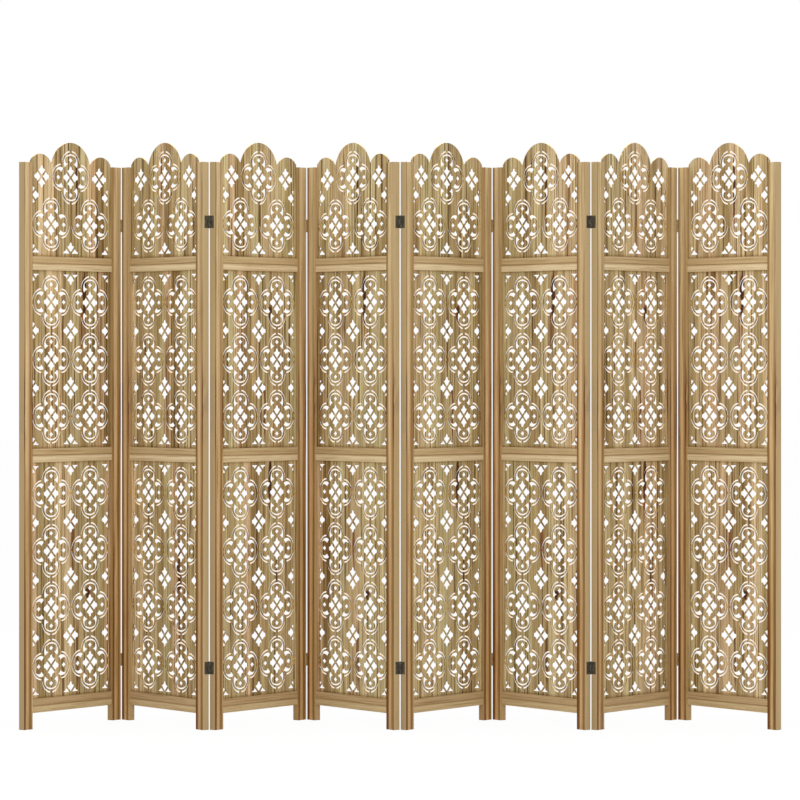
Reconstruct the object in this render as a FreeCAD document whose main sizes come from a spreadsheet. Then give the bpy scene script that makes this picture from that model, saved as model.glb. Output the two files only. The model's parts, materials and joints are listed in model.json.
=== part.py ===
import FreeCAD, Part
import math
import os
import re

Vector = FreeCAD.Vector
PANEL_COUNT = 8
LATTICE_COLUMNS = 2
BOTTOM_ROWS = 4
MIDDLE_ROWS = 3

# Driving dimensions in millimetres, and one angle in degrees
SIZES = {
    "panel_width": 400.0,
    "panel_thickness": 20.0,
    "stile_width": 35.0,
    "stile_arris": 0.4,
    "foot_height": 44.5,
    "rail_height": 39.0,
    "rail_thickness": 12.0,
    "rail_arris": 0.6,
    "score_depth": 1.0,
    "tenon_length": 14.0,
    "tenon_thickness": 6.0,
    "groove_depth": 6.0,
    "board_thickness": 3.0,
    "board_clearance": 0.3,
    "cell_height": 161.75,
    "lattice_side_margin": 4.8,
    "lattice_end_margin": 7.9,
    "top_lattice_margin": 10.5,
    "window_side_margin": 8.3,
    "window_end_margin": 10.4,
    "arch_crown": 99.0,
    "arch_rise": 62.5,
    "arch_border": 0.9,
    "side_arch_rise": 26.3,
    "side_arch_overlap": 8.0,
    "arch_overlap": 6.5,
    "side_diamond_drop": 63.3,
    "zigzag_angle": 51.6,
    "fold_gap": 1.4,
    "pin_offset": 1.1,
    "pin_radius": 1.1,
    "pin_clearance": 0.05,
    "pin_head_height": 1.2,
    "knuckle_wall": 1.05,
    "knuckle_clearance": 0.3,
    "leaf_height": 35.0,
    "leaf_width": 16.0,
    "leaf_thickness": 1.0,
    "bottom_hinge_height": 173.0,
    "top_hinge_drop": 167.5,
    "screw_head_radius": 2.2,
    "screw_radius": 1.2,
    "screw_length": 12.0,
    "screw_tip_length": 2.0,
    "screw_tip_radius": 0.3,
    "screw_slot_width": 0.6,
    "screw_slot_depth": 0.5,
    "screw_spacing": 21.0,
    "screw_clearance": 0.05,
    "cut_overrun": 1.0,
}

# The arch's rosette stands this share of a cell above the row below it
ARCH_ROSETTE_RISE_SHARE = 0.83

# Outlines of the carving, in shares of half a rosette, for the lobe that points up.
# Each is the right-hand half; its mirror image is the left-hand half.
PETAL_SHARES = {
    "foot": (0.0, 0.032),
    "cusp": (0.197, 0.240),
    "hollow": (0.122, 0.267),
    "neck": (0.075, 0.311),
    "tip": (0.0, 0.393),
}
CRESCENT_SHARES = {
    "crown": (0.0, 0.829),
    "outer_shoulder": (0.255, 0.752),
    "outer_bulge": (0.335, 0.657),
    "outer_side": (0.366, 0.524),
    "horn_back": (0.359, 0.428),
    "horn": (0.304, 0.342),
    "horn_hollow": (0.225, 0.424),
    "inner_horn": (0.122, 0.488),
    "inner_hollow": (0.226, 0.524),
    "inner_side": (0.262, 0.587),
    "inner_bulge": (0.255, 0.674),
    "inner_shoulder": (0.200, 0.729),
    "inner_crown": (0.0, 0.778),
}
STAR_SHARES = {"centre": 0.619, "point": 0.115, "waist": 0.052}
HALO_SHARES = {"centre": 0.467, "radius": 0.486, "width": 0.052}
HALO_START_ANGLE = 5.0
HALO_END_ANGLE = 82.0
HALO_TIP_ANGLE = 90.0
SIDE_LOBE_SHIFT_SHARE = 0.02


doc = FreeCAD.newDocument("FoldingScreen")
sheet = doc.addObject("Spreadsheet::Sheet", "Sizes")
for row, (word, value) in enumerate(SIZES.items(), start=1):
    sheet.set(f"A{row}", word)
    sheet.set(f"B{row}", str(value))
    sheet.setAlias(f"B{row}", word)
doc.recompute()


def size(word):
    """Read one named size from the sheet."""
    return float(sheet.get(word))


# Formulas used in several bindings, in words of the sheet
MID_DEPTH = "panel_thickness / 2"
CLEAR_WIDTH = "(panel_width - 2 * stile_width)"
OPENING_HEIGHTS = [
    f"({rows} * cell_height + 2 * lattice_end_margin)" for rows in (BOTTOM_ROWS, MIDDLE_ROWS)
]
RAIL_BOTTOMS = ["foot_height"]
for opening in OPENING_HEIGHTS:
    RAIL_BOTTOMS.append(f"({RAIL_BOTTOMS[-1]} + rail_height + {opening})")
TOP_RAIL_TOP = f"({RAIL_BOTTOMS[-1]} + rail_height)"
ARCH_ROSETTE_HEIGHT = (
    f"({TOP_RAIL_TOP} + top_lattice_margin + cell_height * {0.5 + ARCH_ROSETTE_RISE_SHARE})"
)
STILE_HEIGHT = f"({ARCH_ROSETTE_HEIGHT} + arch_crown - arch_rise)"
HINGE_HEIGHTS = ["bottom_hinge_height", f"({STILE_HEIGHT} - top_hinge_drop)"]
KNUCKLE_RADIUS = "(pin_radius + pin_clearance + knuckle_wall)"
SCREW_DEPTH_CENTRE = f"(({KNUCKLE_RADIUS} + knuckle_clearance + leaf_width) / 2)"


SIZE_WORD = re.compile(r"\b(" + "|".join(SIZES) + r")\b")


def in_sheet_words(formula):
    """Point each size word of a formula at its cell."""
    return SIZE_WORD.sub(r"Sizes.\1", formula)


def value_of(formula):
    """Work a formula out with the sheet's present sizes."""
    numbers = SIZE_WORD.sub(lambda word: repr(size(word.group())), formula)
    return float(FreeCAD.Units.Quantity(numbers).Value)


def bind(item, **formulas):
    """Bind properties of an object to formulas; x, y and z mean its place."""
    for name, formula in formulas.items():
        path = f"Placement.Base.{name}" if name in ("x", "y", "z") else name
        item.setExpression(path, in_sheet_words(formula))
    return item


def block(name, low, high):
    """A box between two corners, each three formulas."""
    item = doc.addObject("Part::Box", name)
    spans = [f"({far}) - ({near})" for near, far in zip(low, high)]
    bind(item, Length=spans[0], Width=spans[1], Height=spans[2])
    return bind(item, x=low[0], y=low[1], z=low[2])


def rod(name, centre, radius, height, turn=None):
    """A cylinder from a centre point along Z, or along the turned axis."""
    item = doc.addObject("Part::Cylinder", name)
    if turn:
        item.Placement.Rotation = turn
    bind(item, Radius=radius, Height=height)
    return bind(item, x=centre[0], y=centre[1], z=centre[2])


def cone(name, centre, radii, height, turn=None):
    """A cone from its first radius to its second, placed as a rod is."""
    item = doc.addObject("Part::Cone", name)
    if turn:
        item.Placement.Rotation = turn
    bind(item, Radius1=radii[0], Radius2=radii[1], Height=height)
    return bind(item, x=centre[0], y=centre[1], z=centre[2])


def fuse(name, pieces):
    """Join overlapping pieces into one."""
    item = doc.addObject("Part::MultiFuse", name)
    item.Shapes = pieces
    return item


def cut(name, base, tools):
    """Take the tools away from the base."""
    item = doc.addObject("Part::Cut", name)
    item.Base = base
    item.Tool = tools[0] if len(tools) == 1 else fuse(name + "_tools", tools)
    return item


def chamfer_edges(name, base, word, wanted):
    """Chamfer the edges of the base that the test accepts."""
    base.recompute()
    item = doc.addObject("Part::Chamfer", name)
    item.Base = base
    edges = enumerate(base.Shape.Edges, start=1)
    item.Edges = [(index, size(word), size(word)) for index, edge in edges if wanted(edge)]
    return item


# Places of the panels and hinge pins

class Fold:
    """Where a fold's pins stand at rest, and on which face of the panels."""

    def __init__(self, number):
        angle = math.radians(size("zigzag_angle"))
        run = size("panel_width") + size("fold_gap")
        step_back = size("panel_thickness") + 2 * size("pin_offset")
        depth = size("panel_width") * math.sin(angle) + size("panel_thickness") * math.cos(angle)
        front_pin = -depth / 2 - size("fold_gap") / 2 * math.sin(angle)
        front_pin += (size("panel_thickness") + size("pin_offset")) * math.cos(angle)
        self.opens_to_front = number % 2 == 1
        self.x = (number - PANEL_COUNT / 2) * (run * math.cos(angle) + step_back * math.sin(angle))
        self.y = front_pin
        if self.opens_to_front:
            self.y += run * math.sin(angle) - step_back * math.cos(angle)


def panel_placement(number):
    """Turn a panel to its rest angle and hang it on the fold at its left."""
    odd = number % 2 == 1
    fold = Fold(number - 1)
    degrees = size("zigzag_angle") if odd else -size("zigzag_angle")
    turn = FreeCAD.Rotation(Vector(0, 0, 1), degrees)
    pin_depth = size("panel_thickness") + size("pin_offset") if odd else -size("pin_offset")
    pin = turn.multVec(Vector(-size("fold_gap") / 2, pin_depth, 0))
    return FreeCAD.Placement(Vector(fold.x, fold.y, 0) - pin, turn)


class HingeSide:
    """One end of a panel: its side, and the face where the hinge pins stand."""

    def __init__(self, panel, side):
        self.side = side
        fold_number = panel if side == "right" else panel - 1
        self.folds = 0 < fold_number < PANEL_COUNT
        self.at_front = fold_number % 2 == 1
        self.holds_pin = side == "right"

    def x(self, distance):
        """The place at a distance from the pin's axis, inwards into the stile."""
        if self.side == "right":
            return f"(panel_width + fold_gap / 2 - {distance})"
        return f"(-fold_gap / 2 + {distance})"

    def y(self, distance):
        """The place at a distance from the pin's axis towards the other face."""
        if self.at_front:
            return f"(-pin_offset + {distance})"
        return f"(panel_thickness + pin_offset - {distance})"

    def inward_turn(self):
        """The rotation that lays Z along the inward direction."""
        sign = -1 if self.side == "right" else 1
        return FreeCAD.Rotation(Vector(0, 0, 1), Vector(sign, 0, 0))

    def block(self, name, near, far, low, high):
        """A box given by distances from the pin, nearest corner first."""
        xs = [self.x(near[0]), self.x(far[0])]
        ys = [self.y(near[1]), self.y(far[1])]
        if self.side == "right":
            xs.reverse()
        if not self.at_front:
            ys.reverse()
        return block(name, (xs[0], ys[0], low), (xs[1], ys[1], high))


def hinge_cuts(name, end, height):
    """The leaf's recess, the knuckles' hollow and the screw holes in a stile."""
    half_leaf = "leaf_height / 2"
    reach = f"({half_leaf} + pin_head_height + knuckle_clearance)"
    tools = [
        end.block(name + "_recess", ("0", "0"), ("(fold_gap / 2 + leaf_thickness)", "leaf_width"),
                  f"{height} - {half_leaf}", f"{height} + {half_leaf}"),
        rod(name + "_hollow", (end.x("0"), end.y("0"), f"{height} - {reach}"),
            f"{KNUCKLE_RADIUS} + knuckle_clearance", f"2 * {reach}"),
    ]
    for index, sign in enumerate("-+"):
        place = (end.x("fold_gap / 2"), end.y(SCREW_DEPTH_CENTRE), f"{height} {sign} screw_spacing / 2")
        tools.append(rod(f"{name}_pilot_{index}", place, "screw_radius + screw_clearance",
                         "screw_length + cut_overrun", end.inward_turn()))
    return tools


def make_stile(panel, side):
    """One upright: a chamfered bar with its groove, mortises and hinge cuts."""
    name = f"panel_{panel}_{side}_stile"
    left = "0" if side == "left" else "(panel_width - stile_width)"
    right = f"({left} + stile_width)"
    bar = block(name + "_bar", (left, "0", "0"), (right, "panel_thickness", STILE_HEIGHT))
    # Every edge but the four round the foot
    eased = chamfer_edges(name + "_eased", bar, "stile_arris", lambda edge: edge.BoundBox.ZMax > 0)
    inner, sign = (right, "-") if side == "left" else (left, "+")
    overrun = f"({inner} + cut_overrun)" if side == "left" else f"({inner} - cut_overrun)"

    def slot(slot_name, depth, width, low, high):
        floor = f"({inner} {sign} {depth})"
        near, far = (floor, overrun) if side == "left" else (overrun, floor)
        return block(slot_name, (near, f"{MID_DEPTH} - {width} / 2", low),
                     (far, f"{MID_DEPTH} + {width} / 2", high))

    groove_width = "(board_thickness + 2 * board_clearance)"
    tools = [slot(name + "_groove", "groove_depth", groove_width,
                  "foot_height + groove_depth", f"{STILE_HEIGHT} + cut_overrun")]
    for index, bottom in enumerate(RAIL_BOTTOMS):
        tools.append(slot(f"{name}_mortise_{index}", "tenon_length", "tenon_thickness",
                          f"{bottom} + groove_depth", f"{bottom} + rail_height - groove_depth"))
    end = HingeSide(panel, side)
    if end.folds:
        for index, height in enumerate(HINGE_HEIGHTS):
            tools += hinge_cuts(f"{name}_hinge_{index}", end, height)
    return cut(name, eased, tools)


def make_rail(name, bottom, grooved_below):
    """One cross bar with tenons, board grooves and a scored line on each face."""
    front = f"({MID_DEPTH} - rail_thickness / 2)"
    back = f"({MID_DEPTH} + rail_thickness / 2)"
    top = f"({bottom} + rail_height)"
    left, right = "stile_width", "(panel_width - stile_width)"
    bar = block(name + "_bar", (left, front, bottom), (right, back, top))
    along = Vector(1, 0, 0)
    eased = chamfer_edges(name + "_eased", bar, "rail_arris",
                          lambda edge: abs(edge.tangentAt(edge.FirstParameter).dot(along)) == 1)
    tenon_low = (f"{left} - tenon_length", f"{MID_DEPTH} - tenon_thickness / 2", f"{bottom} + groove_depth")
    tenon_high = (f"{right} + tenon_length", f"{MID_DEPTH} + tenon_thickness / 2", f"{top} - groove_depth")
    tenons = block(name + "_tenons", tenon_low, tenon_high)
    half_groove = "(board_thickness / 2 + board_clearance)"

    def groove(groove_name, low, high):
        return block(groove_name, (f"{left} - cut_overrun", f"{MID_DEPTH} - {half_groove}", low),
                     (f"{right} + cut_overrun", f"{MID_DEPTH} + {half_groove}", high))

    tools = [groove(name + "_upper_groove", f"{top} - groove_depth", f"{top} + cut_overrun")]
    if grooved_below:
        tools.append(groove(name + "_lower_groove", f"{bottom} - cut_overrun",
                            f"{bottom} + groove_depth"))
    for face, depth in (("front", front), ("back", back)):
        score = doc.addObject("Part::Box", f"{name}_{face}_score")
        score.Placement.Rotation = FreeCAD.Rotation(Vector(1, 0, 0), 45)
        side = "score_depth * sqrt(2)"
        bind(score, Length=CLEAR_WIDTH, Width=side, Height=side)
        bind(score, x=left, y=depth, z=f"{bottom} + rail_height / 2 - score_depth")
        tools.append(score)
    return cut(name, fuse(name + "_joined", [eased, tenons]), tools)


def make_rails(panel):
    """A panel's three rails, as separate solids of one group."""
    name = f"panel_{panel}_rails"
    group = doc.addObject("Part::Compound", name)
    rails = []
    for index, bottom in enumerate(RAIL_BOTTOMS):
        rails.append(make_rail(f"{name}_{index}", bottom, grooved_below=index > 0))
    group.Links = rails
    return group


# Carved boards, drawn on the panel's own X and Z, with X from the middle of the panel

def point(x, z):
    """A place on the drawing plane."""
    return Vector(x, 0, z)


def arc(start, through, end):
    """A round edge through three points."""
    return Part.Arc(start, through, end).toShape()


def line(start, end):
    """A straight edge."""
    return Part.LineSegment(start, end).toShape()


def mirrored(corner):
    """The point across the panel's middle."""
    return point(-corner.x, corner.z)


def crossing(centre, radius, other_centre, other_radius):
    """The upper of the two points where two circles cross."""
    between = other_centre - centre
    span = between.Length
    along = (radius ** 2 - other_radius ** 2 + span ** 2) / (2 * span)
    across = math.sqrt(radius ** 2 - along ** 2)
    direction = between / span
    return centre + direction * along + point(-direction.z, direction.x) * across


class Carving:
    """The openings of one rosette about its own centre, at the cell's size."""

    def __init__(self):
        cell_width = value_of(f"({CLEAR_WIDTH} - 2 * lattice_side_margin) / {LATTICE_COLUMNS}")
        self.half = min(cell_width, size("cell_height")) / 2
        lobe = [self.crescent(), self.star()] + [self.halo(1), self.halo(-1)]
        petals, lobes = [], []
        for quarter in range(4):
            petals.append(self.turned(self.petal(), quarter, 0))
            shift = SIDE_LOBE_SHIFT_SHARE * self.half if quarter % 2 else 0
            lobes += [self.turned(wire, quarter, shift) for wire in lobe]
        self.diamond = petals
        self.rosette = petals + lobes

    def at(self, share, mirrored=False):
        """A point at shares of half the rosette, or its mirror image."""
        x, z = share[0] * self.half, share[1] * self.half
        return point(-x if mirrored else x, z)

    def turned(self, wire, quarter, shift):
        """The wire turned by quarter turns, then pushed outwards."""
        copy = wire.copy()
        copy.rotate(Vector(0, 0, 0), Vector(0, 1, 0), 90 * quarter)
        angle = math.pi / 2 * quarter
        copy.translate(point(math.sin(angle) * shift, math.cos(angle) * shift))
        return copy

    def petal(self):
        """A spade-shaped petal; four of them make a diamond."""
        foot, cusp, hollow, neck, tip = (self.at(share) for share in PETAL_SHARES.values())
        left_cusp, left_hollow, left_neck = (
            self.at(PETAL_SHARES[word], mirrored=True) for word in ("cusp", "hollow", "neck"))
        return Part.Wire([
            line(foot, cusp),
            arc(cusp, hollow, neck),
            arc(neck, tip, left_neck),
            arc(left_neck, left_hollow, left_cusp),
            line(left_cusp, foot),
        ])

    def crescent(self):
        """The horseshoe slot round a lobe, with two horns on each side."""
        right = {word: self.at(share) for word, share in CRESCENT_SHARES.items()}
        left = {word: self.at(share, mirrored=True) for word, share in CRESCENT_SHARES.items()}
        strokes = [
            ("outer_shoulder", "outer_bulge", "outer_side"),
            ("outer_side", "horn_back", "horn"),
            ("horn", "horn_hollow", "inner_horn"),
            ("inner_horn", "inner_hollow", "inner_side"),
            ("inner_side", "inner_bulge", "inner_shoulder"),
        ]
        down = [arc(right[a], right[b], right[c]) for a, b, c in strokes]
        up = [arc(left[c], left[b], left[a]) for a, b, c in reversed(strokes)]
        inner = arc(right["inner_shoulder"], right["inner_crown"], left["inner_shoulder"])
        crown = arc(left["outer_shoulder"], left["crown"], right["outer_shoulder"])
        return Part.Wire(down + [inner] + up + [crown])

    def star(self):
        """A four-pointed opening with hollow sides."""
        centre, reach, waist = (STAR_SHARES[word] for word in ("centre", "point", "waist"))
        corners = [(0, 1), (1, 0), (0, -1), (-1, 0)]
        edges = []
        for (x, z), (next_x, next_z) in zip(corners, corners[1:] + corners[:1]):
            edges.append(arc(
                self.at((reach * x, centre + reach * z)),
                self.at((waist * (x + next_x), centre + waist * (z + next_z))),
                self.at((reach * next_x, centre + reach * next_z))))
        return Part.Wire(edges)

    def halo(self, side):
        """One of the two thin arcs outside a lobe, right for 1 and left for -1."""
        centre, radius, width = (HALO_SHARES[word] for word in ("centre", "radius", "width"))

        def on(distance, degrees):
            angle = math.radians(degrees)
            return self.at((side * distance * math.sin(angle), centre + distance * math.cos(angle)))

        inner, middle = radius - width, radius - width / 2
        half_way = (HALO_START_ANGLE + HALO_END_ANGLE) / 2
        tip = on(middle, HALO_TIP_ANGLE)
        return Part.Wire([
            arc(on(inner, HALO_START_ANGLE), on(inner, half_way), on(inner, HALO_END_ANGLE)),
            line(on(inner, HALO_END_ANGLE), tip),
            line(tip, on(radius, HALO_END_ANGLE)),
            arc(on(radius, HALO_END_ANGLE), on(radius, half_way), on(radius, HALO_START_ANGLE)),
            line(on(radius, HALO_START_ANGLE), on(inner, HALO_START_ANGLE)),
        ])


def moved(wires, x, z):
    """Copies of the wires about another centre."""
    copies = [wire.copy() for wire in wires]
    for copy in copies:
        copy.translate(point(x, z))
    return copies


def rectangle(left, right, bottom, top):
    """A flat rectangular face."""
    corners = [point(left, bottom), point(right, bottom), point(right, top), point(left, top)]
    return Part.Face(Part.makePolygon(corners + corners[:1]))


def within(wires, window):
    """The wires, each cut off where it leaves the window; empty ones are dropped."""
    kept = []
    for wire in wires:
        kept += [face.OuterWire for face in Part.Face(wire).common(window).Faces]
    return kept


class Lattice:
    """Where the rosettes and diamonds stand on the boards."""

    def __init__(self, carving):
        self.carving = carving
        self.half_clear = value_of(CLEAR_WIDTH) / 2
        self.cell_width = 2 * (self.half_clear - size("lattice_side_margin")) / LATTICE_COLUMNS
        self.cell_height = size("cell_height")
        self.window_side = self.half_clear - size("window_side_margin")
        self.tongue = size("groove_depth") - size("board_clearance")
        self.columns = [(column + 0.5 - LATTICE_COLUMNS / 2) * self.cell_width
                        for column in range(LATTICE_COLUMNS)]
        self.crossings = [(column - LATTICE_COLUMNS / 2) * self.cell_width
                          for column in range(LATTICE_COLUMNS + 1)]

    def rows_of_openings(self, bottom, rows, window):
        """Rosettes in the cells and diamonds where four cells meet."""
        holes = []
        for row in range(rows):
            for x in self.columns:
                holes += moved(self.carving.rosette, x, bottom + (row + 0.5) * self.cell_height)
        for row in range(rows + 1):
            for x in self.crossings:
                diamond = moved(self.carving.diamond, x, bottom + row * self.cell_height)
                holes += within(diamond, window)
        return holes

    def plain_board(self, rail_bottom, rows):
        """A board between two rails."""
        low = rail_bottom + size("rail_height")
        high = low + rows * self.cell_height + 2 * size("lattice_end_margin")
        end = size("window_end_margin")
        window = rectangle(-self.window_side, self.window_side, low + end, high - end)
        side = self.half_clear + self.tongue
        outline = rectangle(-side, side, low - self.tongue, high + self.tongue).OuterWire
        return [outline] + self.rows_of_openings(low + size("lattice_end_margin"), rows, window)

    def top_board(self):
        """The board above the top rail, which ends in a large and two small arches."""
        low = value_of(TOP_RAIL_TOP)
        stile_top = value_of(STILE_HEIGHT)
        arch_top = stile_top + size("arch_rise")
        side_arch_top = stile_top + size("side_arch_rise")
        window_low = low + size("window_end_margin")
        window = rectangle(-self.window_side, self.window_side, window_low, arch_top)
        holes = self.rows_of_openings(low + size("top_lattice_margin"), 1, window)
        centre_line = [wire for wire in holes if self.is_in_arch(wire, low)]
        holes = [wire for wire in holes if wire not in centre_line]
        holes += moved(self.carving.rosette, 0, value_of(ARCH_ROSETTE_HEIGHT))
        diamond_x = (self.cell_width / 2 + self.window_side) / 2
        for x in (-diamond_x, diamond_x):
            holes += moved(self.carving.diamond, x, side_arch_top - size("side_diamond_drop"))
        return [self.top_outline(low, stile_top, arch_top, side_arch_top)] + holes

    def is_in_arch(self, wire, low):
        """Whether an opening is part of the diamond that the arch's rosette replaces."""
        middle = wire.BoundBox.Center
        upper_row = low + size("top_lattice_margin") + self.cell_height / 2
        return abs(middle.x) < self.cell_width / 4 and middle.z > upper_row

    def top_outline(self, low, stile_top, arch_top, side_arch_top):
        """The outer wire of the top board: tongues in the stiles, ears beside them, arches."""
        side = self.half_clear + self.tongue
        ear = self.half_clear - size("board_clearance")
        radius = self.cell_width / 2 + size("arch_border")
        side_radius = (self.half_clear - radius) / 2 + size("side_arch_overlap")
        side_x = radius + side_radius - size("arch_overlap")
        centre = point(0, arch_top - radius)
        side_centre = point(side_x, side_arch_top - side_radius)
        ear_rise = math.sqrt(side_radius ** 2 - (ear - side_x) ** 2)
        ear_tip = point(ear, side_centre.z + ear_rise)
        valley = crossing(centre, radius, side_centre, side_radius)
        right = [point(side, low - self.tongue), point(side, stile_top), point(ear, stile_top), ear_tip]
        left = [mirrored(corner) for corner in right]
        side_top = point(side_x, side_arch_top)
        edges = [line(start, end) for start, end in zip(right, right[1:])]
        edges += [
            arc(ear_tip, side_top, valley),
            arc(valley, point(0, arch_top), mirrored(valley)),
            arc(mirrored(valley), mirrored(side_top), left[-1]),
        ]
        edges += [line(start, end) for start, end in zip(left[::-1], left[-2::-1])]
        edges.append(line(left[0], right[0]))
        return Part.Wire(edges)


def make_boards(carving):
    """The flat faces of the three boards, at the boards' front."""
    lattice = Lattice(carving)
    wires = {
        "bottom_board": lattice.plain_board(value_of(RAIL_BOTTOMS[0]), BOTTOM_ROWS),
        "middle_board": lattice.plain_board(value_of(RAIL_BOTTOMS[1]), MIDDLE_ROWS),
        "top_board": lattice.top_board(),
    }
    faces = {}
    shift = Vector(size("panel_width") / 2, value_of(f"{MID_DEPTH} - board_thickness / 2"), 0)
    for name, loops in wires.items():
        face = Part.makeFace(loops, "Part::FaceMakerBullseye")
        face.translate(shift)
        faces[name] = doc.addObject("Part::Feature", name + "_face")
        faces[name].Shape = face
    return faces


def make_board(name, face):
    """One pierced board, as thick as the sheet says."""
    board = doc.addObject("Part::Extrusion", name)
    board.Base = face
    board.DirMode = "Custom"
    board.Dir = Vector(0, 1, 0)
    board.Solid = True
    bind(board, LengthFwd="board_thickness")
    return board


# Hinge hardware, drawn once about the pin's middle: X into the stile, Y towards the other face

INTO_STILE = FreeCAD.Rotation(Vector(0, 0, 1), Vector(1, 0, 0))
KNUCKLE_HEIGHT = "((leaf_height - 2 * knuckle_clearance) / 3)"
MIDDLE_KNUCKLE = (f"(-{KNUCKLE_HEIGHT} / 2)", f"({KNUCKLE_HEIGHT} / 2)")
OUTER_KNUCKLES = [
    ("(-leaf_height / 2)", f"(-leaf_height / 2 + {KNUCKLE_HEIGHT})"),
    (f"(leaf_height / 2 - {KNUCKLE_HEIGHT})", "(leaf_height / 2)"),
]


def make_leaf(name, knuckles):
    """A flat leaf whose tabs run into its knuckles, bored for the pin and screws."""
    inner, outer = "(fold_gap / 2)", "(fold_gap / 2 + leaf_thickness)"
    plate_edge = f"({KNUCKLE_RADIUS} + knuckle_clearance)"
    pieces = [block(name + "_plate", (inner, plate_edge, "-leaf_height / 2"),
                    (outer, "leaf_width", "leaf_height / 2"))]
    for index, (low, high) in enumerate(knuckles):
        pieces.append(block(f"{name}_tab_{index}", (inner, "0", low), (outer, plate_edge, high)))
        pieces.append(rod(f"{name}_knuckle_{index}", ("0", "0", low), KNUCKLE_RADIUS, f"{high} - {low}"))
    tools = [rod(name + "_bore", ("0", "0", "-leaf_height / 2 - cut_overrun"),
                 "pin_radius + pin_clearance", "leaf_height + 2 * cut_overrun")]
    for index, sign in enumerate("-+"):
        place = (inner, SCREW_DEPTH_CENTRE, f"0 {sign} screw_spacing / 2")
        radii = ("screw_head_radius + screw_clearance", "screw_radius + screw_clearance")
        tools.append(cone(f"{name}_countersink_{index}", place, radii, "leaf_thickness", INTO_STILE))
    return cut(name, fuse(name + "_joined", pieces), tools)


def make_pin():
    """A pin with a tapered head at each end."""
    half = "(leaf_height / 2)"
    pieces = [rod("pin_shaft", ("0", "0", f"-{half}"), "pin_radius", "leaf_height")]
    radii = (KNUCKLE_RADIUS, "pin_radius")
    pieces.append(cone("pin_upper_head", ("0", "0", half), radii, "pin_head_height"))
    down = FreeCAD.Rotation(Vector(1, 0, 0), 180)
    pieces.append(cone("pin_lower_head", ("0", "0", f"-{half}"), radii, "pin_head_height", down))
    return fuse("hinge_pin", pieces)


def make_screw():
    """A slotted countersunk screw with its head at the leaf's outer face."""
    head_x, neck_x = "(fold_gap / 2)", "(fold_gap / 2 + leaf_thickness)"
    tip_x = "(fold_gap / 2 + screw_length - screw_tip_length)"
    centre = SCREW_DEPTH_CENTRE
    pieces = [
        cone("screw_head", (head_x, centre, "0"), ("screw_head_radius", "screw_radius"),
             "leaf_thickness", INTO_STILE),
        rod("screw_shank", (neck_x, centre, "0"), "screw_radius", f"{tip_x} - {neck_x}", INTO_STILE),
        cone("screw_tip", (tip_x, centre, "0"), ("screw_radius", "screw_tip_radius"),
             "screw_tip_length", INTO_STILE),
    ]
    slot_reach = "(screw_head_radius + cut_overrun)"
    slot_low = (f"{head_x} - cut_overrun", f"{centre} - screw_slot_width / 2", f"-{slot_reach}")
    slot_high = (f"{head_x} + screw_slot_depth", f"{centre} + screw_slot_width / 2", slot_reach)
    slot = block("screw_slot", slot_low, slot_high)
    return cut("hinge_screw", fuse("screw_joined", pieces), [slot])


def place_hardware(end, height):
    """The placement that carries the drawn hardware to a hinge of a panel's end."""
    about = Vector(0, 0, 1)
    turn = FreeCAD.Rotation()
    if end.side == "right" and end.at_front:
        turn = FreeCAD.Rotation(Vector(0, 1, 0), 180)
    elif end.side == "right":
        turn = FreeCAD.Rotation(about, 180)
    elif not end.at_front:
        turn = FreeCAD.Rotation(Vector(1, 0, 0), 180)
    base = Vector(value_of(end.x("0")), value_of(end.y("0")), value_of(height))
    return FreeCAD.Placement(base, turn)


def make_hinges(panel, hardware):
    """All the hinge pieces fixed to one panel, as separate solids of one group."""
    pieces = []
    for side in ("left", "right"):
        end = HingeSide(panel, side)
        if not end.folds:
            continue
        for height in HINGE_HEIGHTS:
            placement = place_hardware(end, height)
            leaf = hardware["two_knuckle_leaf" if end.holds_pin else "one_knuckle_leaf"]
            placed = [(leaf, 0)]
            placed += [(hardware["screw"], sign * size("screw_spacing") / 2) for sign in (-1, 1)]
            if end.holds_pin:
                placed.append((hardware["pin"], 0))
            for item, lift in placed:
                piece = item.Shape.copy()
                raised = FreeCAD.Placement(Vector(0, 0, lift), FreeCAD.Rotation())
                piece.Placement = placement.multiply(raised)
                pieces.append(piece)
    group = doc.addObject("Part::Feature", f"panel_{panel}_hinges")
    group.Shape = Part.makeCompound(pieces)
    return group


def build_screen():
    """Make every sub-part of every panel and set it in its place."""
    carving = Carving()
    board_faces = make_boards(carving)
    hardware = {
        "two_knuckle_leaf": make_leaf("two_knuckle_leaf", OUTER_KNUCKLES),
        "one_knuckle_leaf": make_leaf("one_knuckle_leaf", [MIDDLE_KNUCKLE]),
        "pin": make_pin(),
        "screw": make_screw(),
    }
    doc.recompute()
    sub_parts = []
    for panel in range(1, PANEL_COUNT + 1):
        pieces = [make_stile(panel, "left"), make_stile(panel, "right"), make_rails(panel)]
        for name, face in board_faces.items():
            pieces.append(make_board(f"panel_{panel}_{name}", face))
        pieces.append(make_hinges(panel, hardware))
        placement = panel_placement(panel)
        for piece in pieces:
            piece.Label = piece.Name
            piece.Placement = placement
        sub_parts += pieces
    doc.recompute()
    return sub_parts


def check_document(sub_parts):
    """Stop if any object failed or any sub-part isn't a valid shape."""
    for item in doc.Objects:
        if "Invalid" in item.State or "Error" in item.State:
            raise RuntimeError(f"{item.Name} failed: {item.State}")
    for item in sub_parts:
        if item.Shape.isNull() or not item.Shape.isValid():
            raise RuntimeError(f"{item.Label} has no valid shape")


def export(sub_parts):
    """Write each sub-part to its own file."""
    os.makedirs("parts", exist_ok=True)
    for item in sub_parts:
        item.Shape.exportStep(f"parts/{item.Label}.step")


screen = build_screen()
check_document(screen)
export(screen)
print(f"{len(screen)} sub-parts, {sum(len(item.Shape.Solids) for item in screen)} solids")
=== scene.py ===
import json
import logging
import math
from dataclasses import dataclass, replace
from enum import Enum
from typing import ClassVar

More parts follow.
